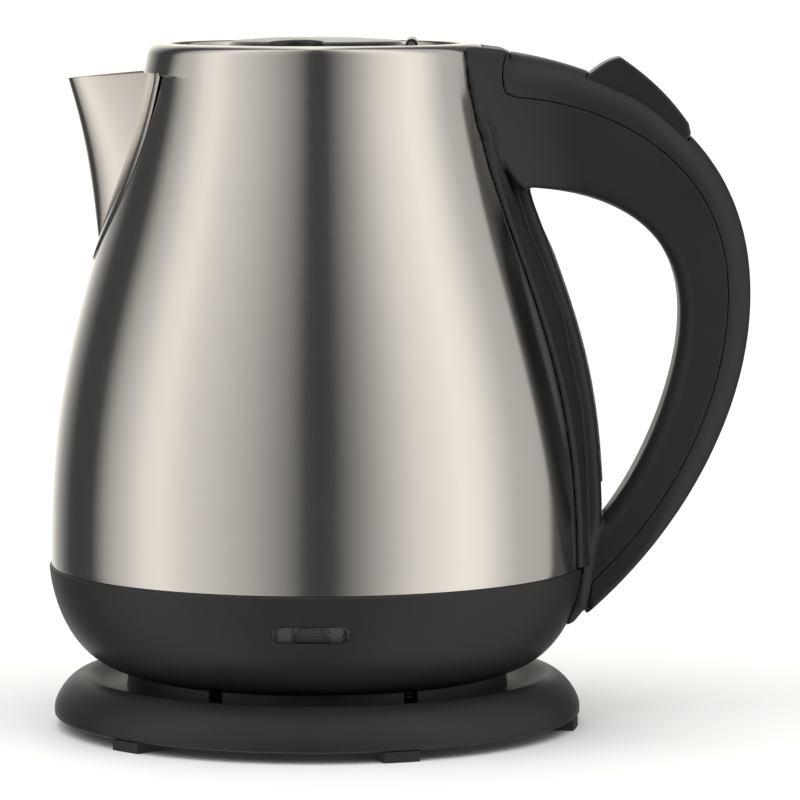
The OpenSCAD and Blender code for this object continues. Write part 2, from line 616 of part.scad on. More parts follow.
module gauge_gasket() color(rubber) difference() {
    gauge_slab(-2.25, 3.1, gauge_w, gauge_a + 0.004, gauge_b - 0.004);
    for (z = gauge_ports) translate([0, 0, z]) rotate([0, 90, 0]) cylinder(r = port_r, h = far / 2);
}
module steam_switch() color(white) translate([68, -8, 181]) cube([11, 16, 16]);
module handle_screws() color(steel) for (s = handle_screw_at) at_screw(s) translate([0, 0, s[3]])
    screw(2.9, 1.2, 1.4, s[4]);

// Two insulated wires run down inside the handle from the steam switch.
wire_r = 0.9;
function wire_mid(t) = t <= 1 ? (bez(IN_TOP, t) + bez(SEAM_TOP, t)) / 2
                              : (bez(IN_LOW, t - 1) + bez(SEAM_LOW, t - 1)) / 2;
module wire(y) {
    ts = [for (i = [0:28]) 0.2 + i * 1.55 / 28];
    n = 8;
    m = len(ts);
    function round_at(j) = let (c = wire_mid(ts[j]),
                                d = unit(wire_mid(ts[min(j + 1, m - 1)]) - wire_mid(ts[max(j - 1, 0)])))
        [for (i = [0:n - 1]) [c.x + d.y * wire_r * cos(i * 360 / n), y + wire_r * sin(i * 360 / n),
                              c.y - d.x * wire_r * cos(i * 360 / n)]];
    polyhedron(points = [for (j = [0:m - 1]) each round_at(j)],
               faces = concat([[for (i = [n - 1:-1:0]) i]], [[for (i = [0:n - 1]) (m - 1) * n + i]],
                              [for (j = [0:m - 2]) for (i = [0:n - 1])
                                  each let (a = j * n + i, b = j * n + (i + 1) % n)
                                  [[a, b, b + n], [a, b + n, a + n]]]));
}
module switch_wires() color("#8c2f28") {
    wire(-6);
    wire(6);
}

base_cover();
base_plate();
rubber_feet();
base_screws();
base_connector();
base_contacts();
cord_inlet();
centre_pin();
jug_shell();
spout();
spout_filter();
lid_ring();
floor_plate();
floor_seal();
heat_spreader();
heating_element();
control_unit();
bimetal_disc();
jug_connector();
jug_contact();
bowl();
bowl_plate();
bowl_screws();
lamp_lens();
lamp_bulb();
lamp_holder();
handle_frame();
handle_cover();
gauge_window();
gauge_gasket();
steam_switch();
switch_wires();
handle_screws();
lid_pin();
rocker_pin();
lid_cover();
lid_plate();
lid_seal();
lid_screws();
rocker();
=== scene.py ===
"""The looks of a cordless electric kettle: finer shells, moulded plastic and brushed steel on its frame."""

import json
import math
from itertools import product

import bmesh
import bpy
import numpy as np
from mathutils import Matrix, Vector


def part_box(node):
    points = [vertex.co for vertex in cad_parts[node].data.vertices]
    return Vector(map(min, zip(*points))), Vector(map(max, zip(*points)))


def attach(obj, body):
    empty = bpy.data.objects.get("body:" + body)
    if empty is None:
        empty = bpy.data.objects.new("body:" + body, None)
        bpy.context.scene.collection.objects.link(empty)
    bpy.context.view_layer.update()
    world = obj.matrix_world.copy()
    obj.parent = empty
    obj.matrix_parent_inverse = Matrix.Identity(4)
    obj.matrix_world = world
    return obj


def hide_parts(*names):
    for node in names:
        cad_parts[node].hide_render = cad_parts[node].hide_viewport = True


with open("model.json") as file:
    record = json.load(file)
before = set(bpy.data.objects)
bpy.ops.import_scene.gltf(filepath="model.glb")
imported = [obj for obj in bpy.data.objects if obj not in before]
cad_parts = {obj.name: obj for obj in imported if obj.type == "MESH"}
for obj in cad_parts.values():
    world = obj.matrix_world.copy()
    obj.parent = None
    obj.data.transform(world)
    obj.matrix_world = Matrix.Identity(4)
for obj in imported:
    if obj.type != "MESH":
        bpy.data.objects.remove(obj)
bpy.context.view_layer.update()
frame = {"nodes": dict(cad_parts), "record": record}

MM = 0.001


def box_mm(node):
    """Lowest and highest corners of a CAD node, in millimetres."""
    low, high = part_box(node)
    return np.array(low) / MM, np.array(high) / MM


# ---- main sizes, in millimetres, from the frame ---------------------------------------------------
RIM_Z = box_mm("jug_shell")[1][2]
JUG_R = box_mm("jug_shell")[1][1]
BASE_R = box_mm("base_cover")[1][1]
LID_R = -box_mm("lid_cover")[0][0]
GRIP_Z = box_mm("lid_cover")[1][2]
SEAM_Z = box_mm("bowl")[1][2]
LENS_LOW, LENS_HIGH = box_mm("lamp_lens")
ROCKER_HALF = box_mm("rocker")[1][1]
WINDOW_HALF = box_mm("gauge_window")[1][1]
STEEL_T = 0.7


# ---- curves: cubics with four control points, as in the CAD ---------------------------------------
NECK = [[54.3, 210], [55.5, 200], [63.9, 173], [69.2, 156]]
BELLY = [[69.2, 156], [81.4, 117], [JUG_R, 91.8], [JUG_R, SEAM_Z]]
BOWL = [[86.1, SEAM_Z], [86, 47.3], [82.3, 21.9], [61.5, 18.4]]
OUT_TOP = [[58.2, 216.8], [83.5, 213.8], [138.9, 199], [138.9, 138.5]]
OUT_LOW = [[138.9, 138.5], [138.9, 100.9], [117.3, 62.6], [86.7, 36]]
IN_TOP = [[72.4, 173.2], [87.3, 171.1], [116, 165.3], [116, 133]]
IN_LOW = [[116, 133], [116, 111.5], [104.2, 83], [91.5, 67.5]]
SEAM_TOP = [[63.4, 202.2], [91.2, 200.2], [131.2, 184.2], [131.2, 139]]
SEAM_LOW = [[131.2, 139], [131.2, 110], [117, 74], [88.3, 47]]
SEAM_FRONT = [[60.5, 216.6], [58.8, 212], [58.8, 206.6], [60.2, 203.6]]
SPINE = [[71.7, 162.1], [84.7, 127.8], [90.2, 110.5], [91.4, 71.7]]
SPOUT_FRONT = [[-79.3, 207.5], [-73.4, 188.1], [-72.1, 176.6], [-69.8, 155.9]]
DOME = [[BASE_R, 5.8], [BASE_R, 9.7], [79.3, 16.7], [75, 16.7]]
DISH = [[75, 16.7], [71.5, 16.7], [68.5, 12.7], [62.3, 12.7]]
ROCKER_FRONT = [[87.2, 209.6], [90.1, 211.7], [93, 214.3], [97, 214.6]]
ROCKER_TOP = [[97, 214.6], [110.9, 205.3], [116.1, 197], [118.6, 193.7]]


def curve(points, offset=0.0, start=0.0, end=1.0, n=40):
    """Points along a cubic, moved to the right-hand side of its direction by offset."""
    p = np.array(points, float)
    t = np.linspace(start, end, n + 1)[:, None]
    at = (1 - t) ** 3 * p[0] + 3 * t * (1 - t) ** 2 * p[1] + 3 * t * t * (1 - t) * p[2] + t ** 3 * p[3]
    run = (1 - t) ** 2 * (p[1] - p[0]) + 2 * t * (1 - t) * (p[2] - p[1]) + t * t * (p[3] - p[2])
    run /= np.linalg.norm(run, axis=1, keepdims=True)
    return at + offset * np.column_stack([run[:, 1], -run[:, 0]])


def arc(centre, radius, start, end, n=8):
    """Points of an arc between two angles in degrees."""
    a = np.radians(np.linspace(start, end, n + 1))
    return np.column_stack([centre[0] + radius * np.cos(a), centre[1] + radius * np.sin(a)])


def rounded(corners, radius, n=5):
    """An open line through corners, each inner corner rounded."""
    c = [np.array(p, float) for p in corners]
    out = [c[0]]
    for before, at, after in zip(c, c[1:], c[2:]):
        a, b = before - at, after - at
        reach = min(radius, 0.45 * np.linalg.norm(a), 0.45 * np.linalg.norm(b))
        a, b = at + reach * a / np.linalg.norm(a), at + reach * b / np.linalg.norm(b)
        for t in np.linspace(0, 1, n):
            out.append((1 - t) ** 2 * a + 2 * t * (1 - t) * at + t * t * b)
    return np.array(out + [c[-1]])


def smooth_step(t):
    u = np.clip(t, 0, 1)
    return u * u * (3 - 2 * u)


def along(points, z):
    """The curve's first coordinate at height z."""
    p = points[np.argsort(points[:, 1])]
    return np.interp(z, p[:, 1], p[:, 0])


RIM_CURL = 3.2
MOUTH_R = 46.5
RIM_C = (MOUTH_R + 3.8, RIM_Z - RIM_CURL)
JUG_SIDE = np.vstack([[[RIM_C[0] + RIM_CURL, 230]], [[RIM_C[0] + RIM_CURL, 213]], curve(NECK, n=90),
                      curve(BELLY, n=90)[1:], [[JUG_R, 0]]])
BOWL_SIDE = np.vstack([[[86.1, SEAM_Z]], curve(BOWL, n=90)[1:], [[30, 15]]])


def jug_radius(z):
    return along(JUG_SIDE, z)


def bowl_radius(z):
    return along(BOWL_SIDE, z)


# ---- meshes ---------------------------------------------------------------------------------------
SEGMENTS = 320
# edges sharper than this many degrees stay crisp
SHARP = 32


def make(name, points, faces, sharp=SHARP):
    """A mesh object from points in millimetres, smooth but for edges sharper than sharp degrees."""
    mesh = bpy.data.meshes.new(name)
    mesh.from_pydata((np.asarray(points, float) * MM).tolist(), [], [list(face) for face in faces])
    mesh.update()
    obj = bpy.data.objects.new(name, mesh)
    bpy.context.scene.collection.objects.link(obj)
    bm = bmesh.new()
    bm.from_mesh(mesh)
    bmesh.ops.recalc_face_normals(bm, faces=bm.faces)
    bm.to_mesh(mesh)
    bm.free()
    soften(mesh, sharp)
    return obj


def soften(mesh, sharp):
    mesh.polygons.foreach_set("use_smooth", [True] * len(mesh.polygons))
    mesh.set_sharp_from_angle(angle=math.radians(sharp))


def grid_faces(rows, columns, closed=False):
    """Quads of a grid of points numbered row by row; closed joins its ends in both directions."""
    faces = []
    for i in range(rows if closed else rows - 1):
        for j in range(columns if closed else columns - 1):
            i1, j1 = (i + 1) % rows, (j + 1) % columns
            faces.append((i * columns + j, i * columns + j1, i1 * columns + j1, i1 * columns + j))
    return faces


def lathe(name, profile, shape=None):
    """A ring with a closed [radius, height] profile, optionally bent by shape(r, a, z)."""
    p = np.asarray(profile, float)
    a = np.linspace(0, 2 * np.pi, SEGMENTS, endpoint=False)[:, None]
    r, z = np.broadcast_to(p[:, 0], (SEGMENTS, len(p))), np.broadcast_to(p[:, 1], (SEGMENTS, len(p)))
    if shape:
        r, z = shape(r, a, z)
    points = np.stack([r * np.cos(a), r * np.sin(a), z], 2).reshape(-1, 3)
    return make(name, points, grid_faces(SEGMENTS, len(p), closed=True))


def prism(name, outline, low, high, place):
    """A closed prism; place(a, b, depth) turns outline points and depths into x, y, z."""
    n = len(outline)
    points = [place(a, b, depth) for depth in (low, high) for a, b in outline]
    faces = [(i, (i + 1) % n, n + (i + 1) % n, n + i) for i in range(n)]
    return make(name, points, faces + [tuple(range(n)), tuple(range(2 * n - 1, n - 1, -1))])


def cut(obj, cutters):
    """Takes the cutters out of obj."""
    for cutter in cutters:
        modifier = obj.modifiers.new("cut", "BOOLEAN")
        modifier.operation = "DIFFERENCE"
        modifier.solver = "EXACT"
        modifier.object = cutter
    graph = bpy.context.evaluated_depsgraph_get()
    mesh = bpy.data.meshes.new_from_object(obj.evaluated_get(graph))
    obj.modifiers.clear()
    obj.data = mesh
    for cutter in cutters:
        bpy.data.objects.remove(cutter)
    soften(mesh, SHARP)
    return obj


# ---- shapes from distance fields: negative inside, in millimetres ----------------------------------
def outline_distance(x, z, outline):
    """Signed distance from points to a closed outline in the plane."""
    x, z = np.broadcast_arrays(x, z)
    best = np.full(x.shape, 1e9)
    inside = np.zeros(x.shape, bool)
    ends = np.asarray(outline, float)
    for (ax, az), (bx, bz) in zip(ends, np.roll(ends, -1, 0)):
        dx, dz = bx - ax, bz - az
        length = dx * dx + dz * dz
        if length < 1e-9:
            continue
        t = np.clip(((x - ax) * dx + (z - az) * dz) / length, 0, 1)
        best = np.minimum(best, (x - ax - t * dx) ** 2 + (z - az - t * dz) ** 2)
        if dz:
            inside ^= ((az > z) != (bz > z)) & (x < dx * (z - az) / dz + ax)
    return np.where(inside, -1.0, 1.0) * np.sqrt(best)


def both(a, b, radius):
    """Where two shapes overlap, with the edge between them rounded."""
    u, w = np.maximum(a + radius, 0), np.maximum(b + radius, 0)
    return np.minimum(np.maximum(a, b), -radius) + np.sqrt(u * u + w * w)


def joined(a, b, fillet):
    """Two shapes together, with a fillet where they meet."""
    h = np.clip(0.5 + 0.5 * (b - a) / fillet, 0, 1)
    return b * (1 - h) + a * h - fillet * h * (1 - h)


def solid(name, field, low, high, step):
    """The surface of a distance field as a mesh of quads, sampled every step millimetres."""
    low = np.asarray(low, float)
    axes = [np.arange(a, b + step, step) for a, b in zip(low, high)]
    value = field(*np.ix_(*axes))
    value = np.broadcast_to(value, [len(a) for a in axes]).astype(np.float32)
    inside = value < 0
    # the cells that the surface passes through
    cells_shape = np.array(value.shape) - 1
    count = np.zeros(cells_shape, np.int8)
    corners = list(product((0, 1), repeat=3))
    for d in corners:
        count += inside[tuple(slice(k, k + n) for k, n in zip(d, cells_shape))]
    mixed = (count > 0) & (count < 8)
    cells = np.argwhere(mixed)
    index = np.full(cells_shape, -1)
    index[mixed] = np.arange(len(cells))
    # one point in each, moved to the surface inside the cell
    corner = np.stack([value[tuple((cells + d).T)] for d in corners], 1).reshape(-1, 2, 2, 2)
    at = np.full((len(cells), 3), 0.5)
    ends = np.array([-1.0, 1.0])
    for _ in range(4):
        w = [np.stack([1 - at[:, i], at[:, i]], 1) for i in range(3)]
        here = np.einsum("nabc,na,nb,nc->n", corner, *w)
        slope = np.stack([np.einsum("nabc,a,nb,nc->n", corner, ends, w[1], w[2]),
                          np.einsum("nabc,na,b,nc->n", corner, w[0], ends, w[2]),
                          np.einsum("nabc,na,nb,c->n", corner, w[0], w[1], ends)], 1)
        at = np.clip(at - (here / ((slope ** 2).sum(1) + 1e-9))[:, None] * slope, 0, 1)
    points = low + (cells + at) * step
    # a quad across each line of the grid that has one end inside
    faces = []
    unit = np.eye(3, dtype=int)
    for axis in range(3):
        b, c = unit[(axis + 1) % 3], unit[(axis + 2) % 3]
        first = inside[tuple(slice(0, -1) if i == axis else slice(1, -1) for i in range(3))]
        second = inside[tuple(slice(1, None) if i == axis else slice(1, -1) for i in range(3))]
        p = np.argwhere(first != second)
        outward = first[tuple(p.T)]
        p = p + 1 - unit[axis]
        quad = np.stack([index[tuple(q.T)] for q in (p - b - c, p - c, p, p - b)], 1)
        quad[~outward] = quad[~outward][:, ::-1]
        faces.append(quad)
    faces = np.vstack(faces)
    edges = np.vstack([faces[:, [i, (i + 1) % 4]] for i in range(4)])
    # two rounds of smoothing that don't shrink, then back to the surface
    for factor in [0.5, -0.52] * 2:
        total, number = np.zeros_like(points), np.zeros(len(points))
        np.add.at(total, edges[:, 0], points[edges[:, 1]])
        np.add.at(number, edges[:, 0], 1)
        points = points + factor * (total / np.maximum(number, 1)[:, None] - points)
    for _ in range(2):
        here = field(*points.T)
        normal = np.stack([field(*(points + 0.04 * d).T) - here for d in np.eye(3)], 1) / 0.04
        move = -here[:, None] * normal / np.maximum((normal ** 2).sum(1), 0.3)[:, None]
        points = points + np.clip(move, -0.4 * step, 0.4 * step)
    normal /= np.maximum(np.linalg.norm(normal, axis=1, keepdims=True), 1e-6)
    mesh = bpy.data.meshes.new(name)
    mesh.from_pydata((points * MM).tolist(), [], faces.tolist())
    obj = bpy.data.objects.new(name, mesh)
    bpy.context.scene.collection.objects.link(obj)
    mesh.polygons.foreach_set("use_smooth", [True] * len(faces))
    mesh.normals_split_custom_set_from_vertices(normal.tolist())
    return obj


# ---- materials --------------------------------------------------------------------------------------
class Look:
    """A material with a Principled shader, and short calls to add nodes."""

    def __init__(self, name, colour, roughness, **sockets):
        self.material = bpy.data.materials.new(name)
        self.material.use_nodes = True
        self.tree = self.material.node_tree
        self.shader = self.tree.nodes["Principled BSDF"]
        self.shader.inputs["Base Color"].default_value = (*colour, 1)
        self.shader.inputs["Roughness"].default_value = roughness
        for socket, value in sockets.items():
            self.shader.inputs[socket.replace("_", " ")].default_value = value
        self.place = self.node("ShaderNodeTexCoord").outputs["Object"]

    def node(self, kind, **settings):
        node = self.tree.nodes.new(kind)
        for key, value in settings.items():
            setattr(node, key, value)
        return node

    def link(self, source, target):
        self.tree.links.new(source, target)

    def noise(self, scale, detail=4.0, where=None):
        node = self.node("ShaderNodeTexNoise")
        self.link(where or self.place, node.inputs["Vector"])
        node.inputs["Scale"].default_value = scale
        node.inputs["Detail"].default_value = detail
        return node.outputs["Fac"]

    def spread(self, source, low, high):
        """Stretches the middle of a noise, 0.3 to 0.7, to the range low to high."""
        node = self.node("ShaderNodeMapRange")
        self.link(source, node.inputs["Value"])
        for socket, value in (("From Min", 0.3), ("From Max", 0.7), ("To Min", low), ("To Max", high)):
            node.inputs[socket].default_value = value
        return node.outputs["Result"]

    def maths(self, operation, first, second=None):
        node = self.node("ShaderNodeMath", operation=operation)
        for socket, value in zip(node.inputs, (first, second)):
            if isinstance(value, (int, float)):
                socket.default_value = value
            elif value is not None:
                self.link(value, socket)
        return node.outputs[0]

    def blend(self, factor, first, second):
        node = self.node("ShaderNodeMix", data_type="RGBA")
        self.link(factor, node.inputs["Factor"])
        node.inputs[6].default_value = (*first, 1)
        node.inputs[7].default_value = (*second, 1)
        return node.outputs[2]

    def around(self, turns, rise):
        """A place that changes slowly round Z and fast along it."""
        parts = self.node("ShaderNodeSeparateXYZ")
        self.link(self.place, parts.inputs[0])
        angle = self.maths("ARCTAN2", parts.outputs[1], parts.outputs[0])
        out = self.node("ShaderNodeCombineXYZ")
        self.link(self.maths("MULTIPLY", self.maths("COSINE", angle), turns), out.inputs[0])
        self.link(self.maths("MULTIPLY", self.maths("SINE", angle), turns), out.inputs[1])
        self.link(self.maths("MULTIPLY", parts.outputs[2], rise), out.inputs[2])
        return out.outputs[0]

    def bump(self, height, strength, distance):
        node = self.node("ShaderNodeBump")
        node.inputs["Strength"].default_value = strength
        node.inputs["Distance"].default_value = distance
        self.link(height, node.inputs["Height"])
        self.link(node.outputs[0], self.shader.inputs["Normal"])

    def set(self, socket, source):
        self.link(source, self.shader.inputs[socket])


def brushed(name, colour, dark, roughness):
    """Steel brushed round Z."""
    look = Look(name, colour, roughness, Metallic=1.0, Anisotropic=0.4, Anisotropic_Rotation=0.25)
    lines = look.noise(1.0, 3.0, look.around(2.4, 4200))
    cloud = look.noise(22.0, 3.0)
    look.set("Base Color", look.blend(look.spread(lines, 0, 1), dark, colour))
    look.set("Roughness", look.maths("ADD", look.spread(lines, roughness - 0.02, roughness + 0.03),
                                     look.spread(cloud, -0.01, 0.02)))
    look.bump(lines, 0.05, 0.00002)
    tangent = look.node("ShaderNodeTangent", direction_type="RADIAL", axis="Z")
    look.link(tangent.outputs[0], look.shader.inputs["Tangent"])
    return look.material


def plastic(name, colour, light, roughness, grain=0.18, scale=1500.0, **sockets):
    """Moulded plastic: a fine spark-eroded grain, faint clouds of gloss and dust."""
    look = Look(name, colour, roughness, **sockets)
    cloud = look.noise(26.0, 4.0)
    look.set("Base Color", look.blend(look.spread(cloud, 0, 1), colour, light))
    look.set("Roughness", look.spread(cloud, roughness - 0.04, roughness + 0.06))
    look.bump(look.noise(scale, 2.0), grain, 0.00008)
    return look.material


def clear(name, colour, roughness):
    """Clear moulded plastic with faint flow marks."""
    look = Look(name, colour, roughness, IOR=1.49, Transmission_Weight=1.0)
    look.set("Roughness", look.spread(look.noise(60.0), roughness, roughness + 0.08))
    look.bump(look.noise(180.0, 2.0), 0.08, 0.0001)
    return look.material


STEEL = brushed("brushed_steel", (0.76, 0.725, 0.69), (0.735, 0.7, 0.665), 0.14)
SPOUT_STEEL = brushed("spout_steel", (0.8, 0.755, 0.71), (0.775, 0.73, 0.685), 0.17)
PLAIN_STEEL = brushed("plain_steel", (0.62, 0.61, 0.59), (0.5, 0.49, 0.47), 0.3)
BLACK = plastic("charcoal_plastic", (0.019, 0.019, 0.0195), (0.0225, 0.0225, 0.023), 0.38,
                Specular_IOR_Level=0.26)
DARK = plastic("dark_plastic", (0.014, 0.014, 0.0145), (0.018, 0.018, 0.0185), 0.33)
LID_BLACK = plastic("lid_plastic", (0.016, 0.0165, 0.0165), (0.021, 0.0215, 0.0215), 0.2)
RUBBER = plastic("rubber", (0.012, 0.012, 0.013), (0.022, 0.022, 0.022), 0.72, 0.3, 700.0)
WHITE = plastic("white_plastic", (0.74, 0.72, 0.67), (0.8, 0.78, 0.73), 0.42, 0.12)
SLEEVE = plastic("wire_sleeve", (0.3, 0.03, 0.025), (0.38, 0.045, 0.035), 0.45, 0.1)
BRASS = plastic("brass", (0.72, 0.53, 0.24), (0.8, 0.6, 0.3), 0.28, 0.1, 900.0, Metallic=1.0)
ALUMINIUM = plastic("aluminium", (0.58, 0.59, 0.6), (0.68, 0.69, 0.7), 0.38, 0.2, 700.0, Metallic=1.0)
ELEMENT = plastic("element_metal", (0.2, 0.18, 0.15), (0.3, 0.28, 0.25), 0.5, 0.2, 500.0, Metallic=0.8)
CLEAR = clear("clear_plastic", (0.55, 0.56, 0.57), 0.08)
LAMP = clear("lamp_glass", (0.9, 0.82, 0.74), 0.1)
LENS_PLASTIC = clear("smoky_lens", (0.36, 0.365, 0.375), 0.06)

LOOK_OF_SLOT = {
    "black_plastic": BLACK, "dark_plastic": DARK, "rubber": RUBBER, "brushed_steel": STEEL,
    "plain_steel": PLAIN_STEEL, "brass": BRASS, "aluminium": ALUMINIUM, "element_metal": ELEMENT,
    "white_plastic": WHITE, "clear_plastic": CLEAR, "lamp_glass": LAMP, "wire_sleeve": SLEEVE,
}


def dress(obj, material):
    obj.data.materials.clear()
    obj.data.materials.append(material)


def finish_piece(obj, body, slot, node, material=None):
    """Gives a piece its material and body, and shows it in place of a CAD node."""
    dress(obj, material or LOOK_OF_SLOT[slot])
    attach(obj, body)
    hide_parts(node)


for part in frame["record"]["subparts"]:
    dress(frame["nodes"][part["node"]], LOOK_OF_SLOT[part["material_slot"]])


# ---- steel jug --------------------------------------------------------------------------------------
SPOUT_HALF, SPOUT_FOOT = 16.5, 155.9
FLANGE_HALF, FLANGE_FOOT = 25.5, 149.0
SPOUT_TOP, LIP_RISE, V_START = 210.0, 2.2, 156.5
SKIRT_R, SKIRT_FOOT = 82.8, 46.7
COLLAR_Z, COLLAR_PROUD = 209.0, 0.8
# the collar ends this many degrees from the spout's middle, and fades over the last ones
COLLAR_END, COLLAR_FADE = 46, 18
MOUTH_CURL, MOUTH_DEPTH = 0.9, 3
# the opening behind the spout, which stays inside the spout's edges
OPENING_LOW, OPENING_HIGH, OPENING_EDGE = 172, 208, 2.6
# how quickly the spout and its flange widen
SPOUT_POWER, FLANGE_POWER = 3, 4.5
LEAST_WIDTH = 0.4


def swell(z, foot, power):
    """Widens from nothing at foot to one at the spout's top."""
    return 1 - (1 - np.clip((z - foot) / (SPOUT_TOP - foot), 0, 1)) ** power


def collar(r, a, z):
    """The collar stands a little proud of the neck beside the spout, and fades out round the jug."""
    away = np.abs(np.degrees(a) - 180)
    step = smooth_step((z - COLLAR_Z + 0.3) / 0.6) * smooth_step((RIM_Z - z) / 6)
    return r + COLLAR_PROUD * step * smooth_step((COLLAR_END - away) / COLLAR_FADE) * (r > MOUTH_R + 4), z


def jug():
    inner = RIM_CURL - STEEL_T
    profile = np.vstack([
        [[SKIRT_R, SKIRT_FOOT], [SKIRT_R, SEAM_Z - 0.6], [JUG_R - 0.5, SEAM_Z - 0.1],
         [JUG_R - 0.1, SEAM_Z + 0.15]],
        curve(BELLY, end=0.99, n=70)[::-1], curve(NECK, start=0.3, n=30)[:0:-1],
        curve(NECK, end=0.3, n=30)[::-1],
        arc(RIM_C, RIM_CURL, 0, 90, 12),
        arc((MOUTH_R + MOUTH_CURL, RIM_Z - MOUTH_CURL), MOUTH_CURL, 90, 180, 5),
        [[MOUTH_R, RIM_Z - MOUTH_DEPTH], [MOUTH_R + STEEL_T, RIM_Z - MOUTH_DEPTH],
         [MOUTH_R + STEEL_T, RIM_Z - STEEL_T - 0.3], [MOUTH_R + STEEL_T + 0.3, RIM_Z - STEEL_T]],
        arc(RIM_C, inner, 0, 90, 8)[::-1],
        curve(NECK, STEEL_T, n=40), curve(BELLY, STEEL_T, start=0.01, end=0.97, n=50),
        [[SKIRT_R - STEEL_T, SEAM_Z - 1], [SKIRT_R - STEEL_T, SKIRT_FOOT]]])
    obj = lathe("jug_steel", profile, collar)
    heights = np.linspace(OPENING_LOW, OPENING_HIGH, 16)
    half = SPOUT_HALF * swell(heights, SPOUT_FOOT, SPOUT_POWER) - OPENING_EDGE
    outline = np.vstack([np.column_stack([half, heights]), np.column_stack([-half, heights])[::-1]])
    opening = prism("opening", outline, -90, -30, lambda a, b, depth: (depth, a, b))
    return cut(obj, [opening])


finish_piece(jug(), "jug", "brushed_steel", "jug_shell")


# ---- spout ------------------------------------------------------------------------------------------
def spout():
    """One pressed sheet: a rounded V with a flange on each side that lies on the jug."""
    s = np.concatenate([np.linspace(-2, -1, 9)[:-1], np.linspace(-1, 1, 61), np.linspace(1, 2, 9)[1:]])
    z0 = np.concatenate([np.linspace(FLANGE_FOOT + 0.5, V_START, 12)[:-1],
                         np.linspace(V_START, SPOUT_TOP - LIP_RISE, 70)])
    s, z0 = np.meshgrid(s, z0)
    front = curve(SPOUT_FRONT, n=60)

    def sheet(out, wall):
        w = np.maximum(SPOUT_HALF * swell(z0, SPOUT_FOOT, SPOUT_POWER), LEAST_WIDTH)
        flange = np.maximum(FLANGE_HALF * swell(z0, FLANGE_FOOT, FLANGE_POWER) - w, LEAST_WIDTH)
        in_v = np.abs(s) <= 1
        y = np.where(in_v, s * w * (1 - wall / np.maximum(w, 2)),
                     np.sign(s) * (w + (np.abs(s) - 1) * flange))
        edge = smooth_step((2 - np.abs(s)) / 0.12)
        r = jug_radius(z0) + 0.12 + out * np.where(in_v, 1, edge) + 0.36 * smooth_step((z0 - 206) / 3)
        foot = -np.sqrt(r ** 2 - w ** 2)
        nose = np.minimum(along(front, np.maximum(z0, SPOUT_FOOT)) + wall, foot)
        vee = foot + (nose - foot) * (1 - np.abs(s) ** 2)
        x = np.where(in_v, vee, -np.sqrt(r ** 2 - y ** 2))
        top = z0 + LIP_RISE * np.where(in_v, s * s, 1) * smooth_step((z0 - 190) / 18)
        return np.stack([x, y, top], 2).reshape(-1, 3)

    rows, columns = s.shape
    outer, inner = sheet(0.6, 0.0), sheet(0.0, STEEL_T)
    faces = grid_faces(rows, columns)
    n = rows * columns
    faces += [tuple(n + k for k in face[::-1]) for face in grid_faces(rows, columns)]
    border = [i for i in range(columns)] + [i * columns + columns - 1 for i in range(1, rows)]
    border += [(rows - 1) * columns + i for i in range(columns - 2, -1, -1)]
    border += [i * columns for i in range(rows - 2, 0, -1)]
    faces += [(a, b, n + b, n + a) for a, b in zip(border, border[1:] + border[:1])]
    return make("spout_steel", np.vstack([outer, inner]), faces, 40)


finish_piece(spout(), "jug", "brushed_steel", "spout", SPOUT_STEEL)


# ---- bowl and lamp window ---------------------------------------------------------------------------
LAMP_Z = (LENS_LOW[2] + LENS_HIGH[2]) / 2
LAMP_HALF_W = LENS_HIGH[0]
LAMP_HALF_H = (LENS_HIGH[2] - LENS_LOW[2]) / 2
BOWL_T, LIP_Z = 2.2, 20.4
BOWL_FOOT_R, BOWL_HOLE_R = 57.3, 49.5


def bowl():
    foot = BOWL[3]
    profile = np.vstack([
        arc((85.3, SEAM_Z - 0.8), 0.8, 90, 0, 4), curve(BOWL, start=0.04, end=0.985, n=70),
        rounded([[foot[0] - 0.3, foot[1]], [BOWL_FOOT_R, foot[1]], [BOWL_FOOT_R, LIP_Z],
                 [BOWL_HOLE_R, LIP_Z], [BOWL_HOLE_R, LIP_Z + BOWL_T], [60.5, LIP_Z + BOWL_T]], 0.4),
        curve(BOWL, BOWL_T, end=0.9, n=40)[::-1], [[83.3, SEAM_Z]]])
    obj = lathe("bowl_shape", profile)
    straight = LAMP_HALF_W - LAMP_HALF_H
    slot = np.vstack([arc((straight, LAMP_Z), LAMP_HALF_H + 0.15, -90, 90, 16),
                      arc((-straight, LAMP_Z), LAMP_HALF_H + 0.15, 90, 270, 16)])
    return cut(obj, [prism("slot", slot, -100, -60, lambda a, b, depth: (a, depth, b))])


finish_piece(bowl(), "jug", "black_plastic", "bowl")


def lens_field(x, y, z):
    straight = LAMP_HALF_W - LAMP_HALF_H
    across = np.hypot(np.maximum(np.abs(x) - straight, 0), z - LAMP_Z) - LAMP_HALF_H + 0.02
    depth = np.hypot(x, y) - bowl_radius(z)
    # small prisms moulded into the upper half of the face
    prisms = 0.16 * np.cos(2.9 * x) * np.cos(3.4 * (z - LAMP_Z - 1.1))
    prisms = prisms * smooth_step((z - LAMP_Z + 0.6) / 1.2)
    ribs = 0.05 * np.cos(1.9 * x + 0.8) * smooth_step((LAMP_Z + 0.6 - z) / 1.2)
    inner = smooth_step((LAMP_HALF_W - 1.5 - np.abs(x)) / 1.5)
    shell = both(across, depth - 0.12 + (prisms + ribs) * inner, 0.6)
    return np.maximum(np.maximum(shell, -1.8 - depth), y + 60)


finish_piece(solid("lamp_lens_shape", lens_field, LENS_LOW - 1, LENS_HIGH + 1, 0.2), "jug", "clear_plastic",
             "lamp_lens", LENS_PLASTIC)


# ---- handle -----------------------------------------------------------------------------------------
GRIP_HALF = 13.5
SPINE_HALF = 13.0
SEAM_GAP = 0.07
# how far the frame's tongue reaches into the cover, and how deep its slot is
TONGUE, TONGUE_SLOT = 1.4, 1.6
CROWN = 1.4
